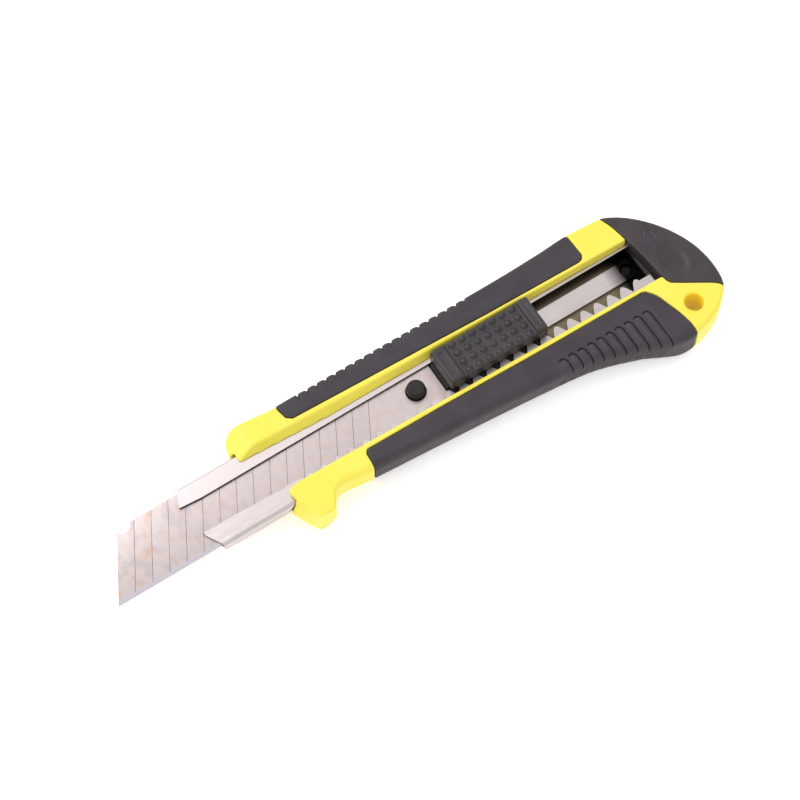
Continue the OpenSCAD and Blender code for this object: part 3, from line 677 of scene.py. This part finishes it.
# %% Steel pieces
def steel(name, body, width):
    """A copy of a steel piece with clean flats and finely broken edges."""
    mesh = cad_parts[name].data.copy()
    mesh.materials.clear()
    shape = bmesh.new()
    shape.from_mesh(mesh)
    bmesh.ops.remove_doubles(shape, verts=shape.verts, dist=2e-6)
    bmesh.ops.dissolve_limit(shape, angle_limit=math.radians(1), verts=shape.verts, edges=shape.edges)
    shape.to_mesh(mesh)
    shape.free()
    piece = bpy.data.objects.new(name + "_ground", mesh)
    bpy.context.collection.objects.link(piece)
    mesh.shade_smooth()
    edge = piece.modifiers.new("broken edges", "BEVEL")
    edge.width = width * MM
    edge.segments = 2
    edge.limit_method = "ANGLE"
    edge.angle_limit = math.radians(28)
    flats = piece.modifiers.new("flat faces", "WEIGHTED_NORMAL")
    flats.weight = 100
    flats.keep_sharp = False
    evaluated = piece.evaluated_get(bpy.context.evaluated_depsgraph_get())
    piece.data = bpy.data.meshes.new_from_object(evaluated)
    piece.modifiers.clear()
    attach(piece, body)
    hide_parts(name)
    print(f"{name}: {len(piece.data.polygons)} faces")
    return piece


blade_channel = steel("blade_channel", "handle", 0.07)
channel_rivets = steel("channel_rivets", "handle", 0.1)
shell_screws = steel("shell_screws", "handle", 0.06)
snap_off_blade = steel("snap_off_blade", "slider", 0.02)
pad_rivets = steel("pad_rivets", "slider", 0.08)
cap_catch = steel("cap_catch", "cap", 0.05)

# %% [markdown]
# Each finish is a small tree of nodes. The pattern is measured in millimetres on the piece
# itself, so grain, brushing and dust stay the same size everywhere and move with the piece.

# %% A finish and short ways to build on it
def tone(r, g, b):
    """A display colour from 0 to 255 as the linear colour that a shader takes."""
    return tuple(((c / 255 + 0.055) / 1.055) ** 2.4 for c in (r, g, b)) + (1.0,)


class Finish:
    """A material's node tree with short ways to add a pattern."""

    def __init__(self, name, **sockets):
        self.material = bpy.data.materials.new(name)
        self.material.use_nodes = True
        self.nodes = self.material.node_tree.nodes
        self.link = self.material.node_tree.links.new
        self.shader = self.nodes["Principled BSDF"]
        for socket, value in sockets.items():
            self.shader.inputs[socket.replace("_", " ")].default_value = value
        coordinates = self.nodes.new("ShaderNodeTexCoord")
        self.place, self.normal = coordinates.outputs["Object"], coordinates.outputs["Normal"]
        self.height = None

    def pattern(self, size, stretch=(1, 1, 1), detail=3.0, kind="ShaderNodeTexNoise"):
        """A noise whose grains are size millimetres, times stretch along each axis."""
        scale = self.nodes.new("ShaderNodeMapping")
        scale.inputs["Scale"].default_value = [1 / (size * MM * s) for s in stretch]
        self.link(self.place, scale.inputs["Vector"])
        texture = self.nodes.new(kind)
        texture.inputs["Scale"].default_value = 1.0
        texture.inputs["Detail"].default_value = detail
        self.link(scale.outputs["Vector"], texture.inputs["Vector"])
        return texture.outputs[0]

    def spread(self, source, low, high, to_low=0.0, to_high=1.0):
        """Stretches the part of a value between low and high over a new range."""
        node = self.nodes.new("ShaderNodeMapRange")
        for socket, value in zip(("From Min", "From Max", "To Min", "To Max"), (low, high, to_low, to_high)):
            node.inputs[socket].default_value = value
        self.link(source, node.inputs["Value"])
        return node.outputs["Result"]

    def product(self, a, b):
        node = self.nodes.new("ShaderNodeMath")
        node.operation = "MULTIPLY"
        self.link(a, node.inputs[0])
        self.link(b, node.inputs[1])
        return node.outputs[0]

    def colours(self, source, *stops):
        """Colours along a value, each stop a place from 0 to 1 and a colour."""
        ramp = self.nodes.new("ShaderNodeValToRGB")
        ramp.color_ramp.elements[0].position, ramp.color_ramp.elements[0].color = stops[0]
        ramp.color_ramp.elements[1].position, ramp.color_ramp.elements[1].color = stops[-1]
        for at, colour in stops[1:-1]:
            ramp.color_ramp.elements.new(at).color = colour
        self.link(source, ramp.inputs["Fac"])
        return ramp.outputs["Color"]

    def mix(self, amount, a, b):
        """Colour a with colour b laid over it by amount."""
        node = self.nodes.new("ShaderNodeMix")
        node.data_type = "RGBA"
        self.link(amount, node.inputs[0])
        for source, socket in ((a, node.inputs[6]), (b, node.inputs[7])):
            if isinstance(source, tuple):
                socket.default_value = source
            else:
                self.link(source, socket)
        return node.outputs[2]

    def wear(self, most=1.0):
        """How far a point stands out on an edge, broken up by a fine pattern."""
        edge = self.nodes.new("ShaderNodeAttribute")
        edge.attribute_name = "edge"
        patchy = self.spread(self.pattern(0.7, detail=4), 0.35, 0.65, 0.3, 1.0)
        return self.product(self.spread(edge.outputs["Fac"], 0.25, 0.9, 0.0, most), patchy)

    def along(self, axis):
        """The place along one axis, in metres in the frame."""
        split = self.nodes.new("ShaderNodeSeparateXYZ")
        self.link(self.place, split.inputs[0])
        return split.outputs[axis]

    def facing_up(self):
        """1 on faces that look up in the frame, 0 on the others."""
        split = self.nodes.new("ShaderNodeSeparateXYZ")
        self.link(self.normal, split.inputs[0])
        return self.spread(split.outputs["Z"], 0.1, 0.5)

    def set(self, socket, source):
        self.link(source, self.shader.inputs[socket])

    def grain(self, source, depth, strength=1.0):
        """Adds relief, depth in millimetres."""
        bump = self.nodes.new("ShaderNodeBump")
        bump.inputs["Distance"].default_value = depth * MM
        bump.inputs["Strength"].default_value = strength
        self.link(source, bump.inputs["Height"])
        if self.height:
            self.link(self.height, bump.inputs["Normal"])
        self.height = bump.outputs["Normal"]
        self.link(self.height, self.shader.inputs["Normal"])


# %% [markdown]
# The yellow shells are a hard, slightly glossy plastic. The colour drifts a little, outer edges
# are a touch paler where hands polish them, and a fine spark-eroded grain breaks up the gloss.

# %% Yellow plastic
yellow = Finish("yellow_plastic", Specular_IOR_Level=0.42)
drift = yellow.spread(yellow.pattern(9, detail=2), 0.35, 0.65)
body_tone = yellow.mix(drift, (0.80, 0.70, 0.075, 1), (0.84, 0.735, 0.09, 1))
polished = yellow.mix(yellow.wear(0.6), body_tone, (0.9, 0.80, 0.15, 1))
dust = yellow.spread(yellow.pattern(0.35, detail=3), 0.73, 0.80, 0.0, 0.3)
yellow.set("Base Color", yellow.mix(dust, polished, tone(206, 170, 40)))
yellow.set("Roughness", yellow.spread(yellow.pattern(1.6, detail=5), 0.3, 0.7, 0.33, 0.48))
yellow.grain(yellow.pattern(0.22, detail=2), 0.004)
yellow.grain(yellow.pattern(3.5, (3, 1, 1), detail=3), 0.02, 0.5)

# %% [markdown]
# The grips are a soft rubber: dark, matt, with a very fine grain and a few pale specks of dust
# that rubber always picks up. The end cap and the slider are harder, smoother dark plastics.

# %% Dark rubber and dark plastics
def dark_finish(name, low, high, roughness, grain_size, grain_depth, specks, gloss=0.3):
    finish = Finish(name, Specular_IOR_Level=gloss)
    drift = finish.spread(finish.pattern(6, detail=3), 0.35, 0.65)
    base = finish.mix(drift, low, high)
    worn = finish.mix(finish.wear(0.8), base, tuple(min(c * 1.6, 1) for c in high))
    dust = finish.spread(finish.pattern(0.22, detail=2), 0.745, 0.79, 0.0, specks)
    finish.set("Base Color", finish.mix(dust, worn, tone(176, 166, 160)))
    finish.set("Roughness", finish.spread(finish.pattern(1.2, detail=5), 0.3, 0.7,
                                          roughness - 0.07, roughness + 0.08))
    finish.grain(finish.pattern(grain_size, detail=2), grain_depth)
    return finish


rubber = dark_finish("grip_rubber", tone(52, 46, 52), tone(59, 53, 59), 0.55, 0.16, 0.012, 0.6, 0.38)
cap_finish = dark_finish("cap_plastic", tone(56, 50, 54), tone(64, 58, 62), 0.44, 0.3, 0.005, 0.3)
pad_finish = dark_finish("pad_plastic", tone(50, 46, 50), tone(58, 54, 58), 0.45, 0.3, 0.006, 0.3, 0.42)
inner_finish = dark_finish("slider_plastic", tone(26, 23, 23), tone(36, 33, 33), 0.5, 0.3, 0.004, 0.2)

# %% [markdown]
# The channel is bright rolled steel, brushed along its length. The brushing is a noise drawn out
# sixty times along the channel, which moves both the tone and the relief. The spine half is painted
# brighter as painted light, the floor is painted dimmer than the lips as the shade under them, the
# rear is painted dark as the shadow under the cap, and the sheared edges are dark, partly their own
# rough steel and partly painted shade of the gap under the lip.

# %% Brushed channel steel
CAP_SHADOW_FROM, CAP_SHADOW_TO = (place((REAR - back, 0, 0))[0] for back in (9, 4))
FLOOR_TOP, FLOOR_DEEP = corner.z - 1.95 * MM, corner.z - 2.35 * MM
channel_steel = Finish("brushed_steel", Metallic=1.0)
brush = channel_steel.pattern(0.09, (60, 1, 1), detail=3)
cloud = channel_steel.pattern(5, (3, 1, 1), detail=4)
steel_tone = channel_steel.colours(brush, (0.3, tone(184, 175, 174)), (0.7, tone(214, 206, 205)))
clouded = channel_steel.spread(cloud, 0.45, 0.75, 0, 0.5)
dull = channel_steel.mix(clouded, steel_tone, tone(180, 171, 170))
# Painted light: the spine half of the channel is mixed to a brighter steel, for the light that falls
# brighter on the spine side's lip.
spine_half = channel_steel.spread(channel_steel.along("Y"), corner.y + 6 * MM, corner.y + 13 * MM)
spine_painted_light = channel_steel.mix(spine_half, dull, tone(208, 199, 199))
height = channel_steel.along("Z")
# Painted shade: upward faces deep in the floor are mixed to a dim olive, the shade under the lips tinted by
# light bounced off the yellow rails.
floor_painted_shade = channel_steel.product(channel_steel.spread(height, FLOOR_TOP, FLOOR_DEEP),
                                    channel_steel.facing_up())
shaded = channel_steel.mix(floor_painted_shade, spine_painted_light, tone(118, 108, 88))
# Painted shadow: towards the rear, under the end cap, the channel's inside fades to near black.
cap_painted_shadow = channel_steel.product(channel_steel.spread(channel_steel.along("X"), CAP_SHADOW_FROM, CAP_SHADOW_TO),
                             channel_steel.spread(height, corner.z, corner.z - 0.4 * MM))
channel_steel.set("Base Color", channel_steel.mix(cap_painted_shadow, shaded, tone(16, 14, 13)))
channel_steel.set("Roughness", channel_steel.spread(cloud, 0.3, 0.7, 0.28, 0.42))
channel_steel.grain(brush, 0.006)

# The lips' cut edges: a rough dark steel, painted nearly black as the shade in the gap between lip and
# blade.
sheared_shade = Finish("sheared_edge_painted_shade", Metallic=0.8, Roughness=0.55)
sheared_shade.set("Base Color", sheared_shade.colours(sheared_shade.pattern(0.4, (1, 1, 3)), (0.3, tone(14, 11, 11)),
                                          (0.7, tone(30, 26, 25))))
sheared_shade.grain(sheared_shade.pattern(0.1), 0.01)

# %% [markdown]
# The blade is ground across its width. Away from its tip it is an even grey. Near the tip it has
# picked up cloudy grey stains and a faint tan bloom from being used, and it is also painted a paler,
# warmer grey there as painted light, since the blade's front catches more light.

# %% Blade steel
blade_steel = Finish("blade_steel", Metallic=1.0)
ground = blade_steel.pattern(0.12, (1, 60, 1), detail=3)
cloud = blade_steel.pattern(3.2, (1, 1.3, 1), detail=4)
bloom = blade_steel.pattern(2.6, (1, 1.2, 1), detail=3)
tip_use_and_light = blade_steel.spread(blade_steel.along("X"), corner.x + 4 * MM, corner.x + 45 * MM, 1.0, 0.35)
base = blade_steel.colours(ground, (0.25, tone(192, 181, 181)), (0.75, tone(206, 195, 195)))
# Painted light: towards the tip the steel is mixed to a paler, warmer grey; the same mask also places the
# stains and tan bloom of use.
tip_painted_light = blade_steel.mix(tip_use_and_light, base, tone(198, 186, 184))
stain = blade_steel.product(blade_steel.spread(cloud, 0.48, 0.64, 0, 0.8), tip_use_and_light)
stained = blade_steel.mix(stain, tip_painted_light, tone(174, 168, 173))
tan = blade_steel.product(blade_steel.spread(bloom, 0.55, 0.68, 0, 0.8), tip_use_and_light)
blade_steel.set("Base Color", blade_steel.mix(tan, stained, tone(198, 164, 146)))
blade_steel.set("Roughness", blade_steel.spread(cloud, 0.3, 0.7, 0.26, 0.45))
blade_steel.grain(ground, 0.004)

# %% [markdown]
# The screws, the pad's rivets and the springs are plated and greyish bright. The channel's rivets
# are blackened, and their near black also serves as painted shade, so they hardly show in the
# painted shadow on the channel's floor.

# %% Small steel pieces
plated = Finish("plated_steel", Metallic=1.0)
plated.set("Base Color", plated.colours(plated.pattern(0.8), (0.3, tone(150, 146, 144)),
                                        (0.7, tone(196, 192, 188))))
plated.set("Roughness", plated.spread(plated.pattern(0.5, detail=4), 0.3, 0.7, 0.25, 0.5))
plated.grain(plated.pattern(0.2), 0.01)

# Blackened steel, near black, which also serves as painted shade where the rivets sit in the channel's dark
# rear.
blackened_shade_steel = Finish("blackened_steel_painted_shade", Metallic=0.9)
blackened_shade_steel.set("Base Color", blackened_shade_steel.colours(blackened_shade_steel.pattern(0.5), (0.3, tone(22, 20, 19)),
                                                  (0.7, tone(38, 35, 34))))
blackened_shade_steel.set("Roughness", blackened_shade_steel.spread(blackened_shade_steel.pattern(0.4, detail=4), 0.3, 0.7, 0.5, 0.7))
blackened_shade_steel.grain(blackened_shade_steel.pattern(0.15), 0.01)

# %% [markdown]
# Some faces of a piece look different from the rest. The score lines are pressed, not ground, and
# look duller, and their grooves are painted darker as the shade inside them. The cutting edge is
# ground finer, and the hang hole's wall is painted a deeper yellow as the light that bounces from one
# side of it to the other. Each gets a finish of its own.

# %% Score lines, cutting edge and hang hole
# Painted shade: the score grooves get a darker, duller steel, as the shade that falls inside them.
scored_shade = Finish("scored_steel_painted_shade", Metallic=0.9, Roughness=0.5)
scored_shade.set("Base Color", scored_shade.colours(scored_shade.pattern(0.6), (0.3, tone(138, 127, 129)),
                                        (0.7, tone(158, 147, 149))))
scored_shade.grain(scored_shade.pattern(0.1), 0.005)

ground_edge = Finish("ground_edge", Metallic=1.0, Roughness=0.22)
hair = ground_edge.pattern(0.08, (1, 40, 1))
ground_edge.set("Base Color", ground_edge.colours(hair, (0.3, tone(198, 192, 202)),
                                                  (0.7, tone(214, 208, 218))))
ground_edge.grain(hair, 0.003)

# Painted bounce light: the hang hole's wall is mixed to a deep amber yellow.
hole_bounce_yellow = Finish("hole_painted_bounce_yellow", Roughness=0.45)
hole_bounce_yellow.set("Base Color", hole_bounce_yellow.colours(hole_bounce_yellow.pattern(2.0), (0.3, (0.98, 0.74, 0.02, 1)),
                                                  (0.7, (1.0, 0.80, 0.03, 1))))
hole_bounce_yellow.grain(hole_bounce_yellow.pattern(0.22), 0.004)

# %% Every piece gets its finish
FINISHES = [(yellow, (front_shell, back_shell)),
            (rubber, (spine_grip_front, belly_grip_front, *back_grips)),
            (cap_finish, (end_cap,)), (pad_finish, (thumb_pad,)),
            (inner_finish, (slider_base, blade_carrier, lock_pawl)),
            (channel_steel, (blade_channel,)), (blade_steel, (snap_off_blade,)),
            (blackened_shade_steel, (channel_rivets,)), (plated, (shell_screws, pad_rivets, cap_catch))]
for finish, pieces in FINISHES:
    for piece in pieces:
        piece.data.materials.clear()
        piece.data.materials.append(finish.material)
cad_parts["lock_spring"].material_slots[0].material = plated.material
print("finishes:", [finish.material.name for finish, _ in FINISHES])

# %% [markdown]
# A second finish goes to single faces, picked by where they lie and which way they look. The test
# gets a face's centre in millimetres and its normal, so it reads like the description of the face.

# %% A second finish on some faces
def near_hang(at):
    return math.hypot(at.x - HANG[0], at.y - HANG[1]) < HANG_R + 0.25


def second_finish(piece, finish, chosen):
    """Gives a second finish to the faces whose centre and normal pass a test."""
    piece.data.materials.append(finish.material)
    count = 0
    for face in piece.data.polygons:
        if chosen((face.center - corner) / MM, face.normal):
            face.material_index = len(piece.data.materials) - 1
            count += 1
    print(f"{piece.name}: {count} faces in {finish.material.name}")


second_finish(blade_channel, sheared_shade, lambda at, n: abs(n.z) < 0.4 and 0.2 < at.z and 0 < at.y < S - 1)
second_finish(snap_off_blade, scored_shade, lambda at, n: -0.1 < at.z < -0.004 and 1.5 < at.y < S - 0.1)
second_finish(snap_off_blade, ground_edge, lambda at, n: 0.3 < abs(n.z) < 0.9995 and at.y < 1.5)
second_finish(front_shell, hole_bounce_yellow, lambda at, n: abs(n.z) < 0.6 and near_hang(at))
second_finish(back_shell, hole_bounce_yellow, lambda at, n: abs(n.z) < 0.6 and near_hang(at))

# %% [markdown]
# The knife lies on its back on a plain pale floor. The floor glows faintly, as on a light table, so
# that the shadows stay pale.

# %% Floor
SPAN = 900
GLOW = 0.38
floor = new_piece("floor", [(BLADE_LEN + x * SPAN, y * SPAN, BACK) for x, y in
                            ((-1, -1), (1, -1), (1, 1), (-1, 1))], [(0, 1, 2, 3)])
paper = Finish("pale_floor", Roughness=0.9, Specular_IOR_Level=0.1)
paper.set("Base Color", paper.colours(paper.pattern(1.5, detail=6), (0.3, tone(248, 248, 248)),
                                      (0.7, tone(252, 252, 252))))
paper.shader.inputs["Emission Color"].default_value = (1.0, 0.99, 0.985, 1)
paper.shader.inputs["Emission Strength"].default_value = GLOW
floor.data.materials.append(paper.material)

# %% [markdown]
# The camera looks down steeply through a long lens, so the knife's far end is hardly smaller than
# its near end. Its place follows from an aim, two angles and a distance.

# %% Camera
BEARING, HEIGHT = math.radians(33.01), math.radians(65.48)
DISTANCE = 0.6223
AIM = (88.2, 8.49, 1.84)
look = Vector((math.sin(BEARING) * math.cos(HEIGHT), math.cos(BEARING) * math.cos(HEIGHT),
               -math.sin(HEIGHT)))
right = Vector((math.cos(BEARING), -math.sin(BEARING), 0))
aim = Vector(place(AIM))
camera = bpy.data.objects.new("camera", bpy.data.cameras.new("camera"))
bpy.context.collection.objects.link(camera)
bpy.context.scene.camera = camera
axes = Matrix((right, right.cross(look), -look)).transposed().to_4x4()
camera.matrix_world = Matrix.Translation(aim - look * DISTANCE) @ axes
camera.data.lens = 109.8
camera.data.clip_start = 0.01

# %% [markdown]
# The light is a bright, even studio: a white surround, a soft key from behind and above, and a
# second soft box that the steel's flat faces mirror.

# %% Lights
def soft_box(name, direction, distance, size, energy):
    lamp = bpy.data.objects.new(name, bpy.data.lights.new(name, "AREA"))
    bpy.context.collection.objects.link(lamp)
    lamp.data.size = size
    lamp.data.energy = energy
    way = Vector(direction).normalized()
    turn = way.to_track_quat("Z", "Y").to_matrix().to_4x4()
    lamp.matrix_world = Matrix.Translation(aim + way * distance) @ turn


soft_box("key", (-0.45, 0.75, 1.0), 0.9, 0.6, 3.6)
soft_box("mirror", (0.0, 0.35, 0.91), 1.2, 0.45, 0.22)
world = bpy.data.worlds.new("white_surround")
bpy.context.scene.world = world
world.use_nodes = True
world.node_tree.nodes["Background"].inputs["Color"].default_value = (1, 0.985, 0.98, 1)
world.node_tree.nodes["Background"].inputs["Strength"].default_value = 1.0
bpy.context.scene.view_settings.view_transform = "Standard"
